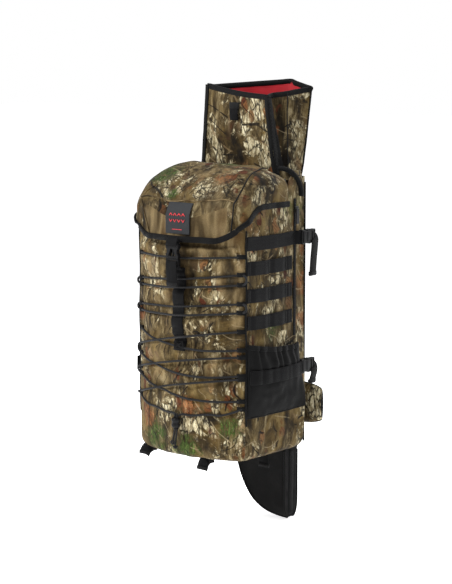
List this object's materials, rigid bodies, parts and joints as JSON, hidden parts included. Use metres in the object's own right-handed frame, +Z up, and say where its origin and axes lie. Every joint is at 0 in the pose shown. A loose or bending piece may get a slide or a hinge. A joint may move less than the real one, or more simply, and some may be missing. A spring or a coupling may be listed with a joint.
{
  "type": "hunting backpack",
  "caption": "Camouflage hunting backpack with a rifle scabbard, buckled lid, front bungee lace, side webbing, mesh pockets and a padded harness.",
  "frame": {"origin": "where the haul loop bears on a hook, under the middle of the loop", "axes": "+X to the right as the front is seen, -Y out of the front, +Z up"},
  "size_m": [0.312, 0.3045, 0.818],
  "materials": {
    "camo_cloth": "woven camouflage print",
    "webbing": "woven nylon webbing",
    "hardware": "moulded acetal",
    "black_cloth": "coarse woven nylon",
    "bungee": "braided elastic cord",
    "mesh": "stretch mesh",
    "red_lining": "thin ripstop",
    "patch": "moulded patch",
    "stays": "mill finish",
    "sheet": "extruded sheet",
    "zip_metal": "black coated"
  },
  "bodies": {
    "root": {"back_pads": "black_cloth", "back_panel": "camo_cloth", "bottom_panel": "camo_cloth", "bottom_tails": "webbing", "compression_buckle_housings": "hardware", "compression_straps": "webbing", "frame_sheet": "sheet", "frame_stays": "stays", "front_panel": "camo_cloth", "front_strap": "webbing", "haul_loop": "webbing", "lace": "bungee", "lace_loops": "webbing", "lace_tail": "bungee", "load_lifters": "webbing", "lumbar_pad": "black_cloth", "mesh_pocket_hems": "webbing", "mesh_pocket_left": "mesh", "mesh_pocket_right": "mesh", "rear_yoke": "camo_cloth", "rear_zip_tape": "webbing", "rifle_divider": "black_cloth", "scabbard_back": "camo_cloth", "scabbard_binding": "webbing", "scabbard_front": "camo_cloth", "scabbard_gusset_left": "camo_cloth", "scabbard_gusset_right": "camo_cloth", "scabbard_lining": "red_lining", "scabbard_tab": "webbing", "shoulder_strap_left": "black_cloth", "shoulder_strap_right": "black_cloth", "shoulder_webbing": "webbing", "side_panel_left": "camo_cloth", "side_panel_right": "camo_cloth", "webbing_ladders": "webbing"},
    "lid": {"lid_panel": "camo_cloth", "lid_edge_binding": "webbing", "lid_patch": "patch", "lid_buckle_tab": "webbing", "lid_buckle_female": "hardware"},
    "lid_buckle_insert": {"lid_buckle_male": "hardware", "lid_strap_tail": "webbing"},
    "prong_right": {"lid_buckle_prong_right": "hardware"},
    "prong_left": {"lid_buckle_prong_left": "hardware"},
    "cord_lock": {"cord_lock_body": "hardware"},
    "cord_lock_press": {"cord_lock_button": "hardware"},
    "butt_pocket": {"butt_pocket_front": "black_cloth", "butt_pocket_back": "black_cloth", "butt_pocket_gusset": "black_cloth"},
    "zip_slider": {"zip_slider": "zip_metal"},
    "zip_pull": {"zip_pull": "zip_metal"},
    "upper_insert_right": {"upper_buckle_insert_right": "hardware"},
    "upper_insert_left": {"upper_buckle_insert_left": "hardware"},
    "lower_insert_right": {"lower_buckle_insert_right": "hardware"},
    "lower_insert_left": {"lower_buckle_insert_left": "hardware"},
    "hip_wing_right": {"hip_wing_right": "camo_cloth", "hip_strap_right": "webbing"},
    "hip_wing_left": {"hip_wing_left": "camo_cloth", "hip_strap_left": "webbing"},
    "sternum_strap": {"sternum_strap": "webbing"}
  },
  "joints": [
    {"name": "lid_hinge", "type": "hinge", "parent": "root", "child": "lid", "pos_m": [0, -0.082, -0.021], "axis": [-1, 0, 0], "range_deg": [0, 75]},
    {"name": "lid_buckle_release", "type": "slide", "parent": "lid", "child": "lid_buckle_insert", "axis": [0, 0, -1], "range_m": [0, 0.03]},
    {"name": "prong_squeeze_right", "type": "slide", "parent": "lid_buckle_insert", "child": "prong_right", "axis": [-1, 0, 0], "range_m": [0, 0.0018], "stiffness_N_per_m": 900},
    {"name": "prong_squeeze_left", "type": "slide", "parent": "lid_buckle_insert", "child": "prong_left", "axis": [1, 0, 0], "range_m": [0, 0.0018], "stiffness_N_per_m": 900},
    {"name": "cord_lock_slide", "type": "slide", "parent": "root", "child": "cord_lock", "axis": [0, 0, -1], "range_m": [0, 0.018]},
    {"name": "cord_lock_button", "type": "slide", "parent": "cord_lock", "child": "cord_lock_press", "axis": [0, 0, 1], "range_m": [0, 0.004], "stiffness_N_per_m": 500},
    {"name": "butt_pocket_swing", "type": "hinge", "parent": "root", "child": "butt_pocket", "pos_m": [0.044, -0.012, -0.547], "axis": [1, 0, 0], "range_deg": [0, 60]},
    {"name": "zip_slide", "type": "slide", "parent": "root", "child": "zip_slider", "axis": [0, 0, -1], "range_m": [0, 0.024]},
    {"name": "zip_pull_swing", "type": "hinge", "parent": "zip_slider", "child": "zip_pull", "pos_m": [0.13155, -0.057, -0.1], "axis": [0, -1, 0], "range_deg": [0, 90]},
    {"name": "upper_release_right", "type": "slide", "parent": "root", "child": "upper_insert_right", "axis": [0, 1, 0], "range_m": [0, 0.02]},
    {"name": "upper_release_left", "type": "slide", "parent": "root", "child": "upper_insert_left", "axis": [0, 1, 0], "range_m": [0, 0.02]},
    {"name": "lower_release_right", "type": "slide", "parent": "root", "child": "lower_insert_right", "axis": [0, 1, 0], "range_m": [0, 0.02]},
    {"name": "lower_release_left", "type": "slide", "parent": "root", "child": "lower_insert_left", "axis": [0, 1, 0], "range_m": [0, 0.02]},
    {"name": "hip_wing_right_swing", "type": "hinge", "parent": "root", "child": "hip_wing_right", "pos_m": [0.077, 0.001, -0.468], "axis": [0, 0, 1], "range_deg": [0, 75]},
    {"name": "hip_wing_left_swing", "type": "hinge", "parent": "root", "child": "hip_wing_left", "pos_m": [-0.077, 0.001, -0.468], "axis": [0, 0, -1], "range_deg": [0, 75]},
    {"name": "sternum_height", "type": "slide", "parent": "root", "child": "sternum_strap", "axis": [0, 0, 1], "range_m": [-0.03, 0.03]}
  ],
  "couplings": [
    {"joint": "prong_squeeze_left", "follows": "prong_squeeze_right", "ratio": 1}
  ]
}
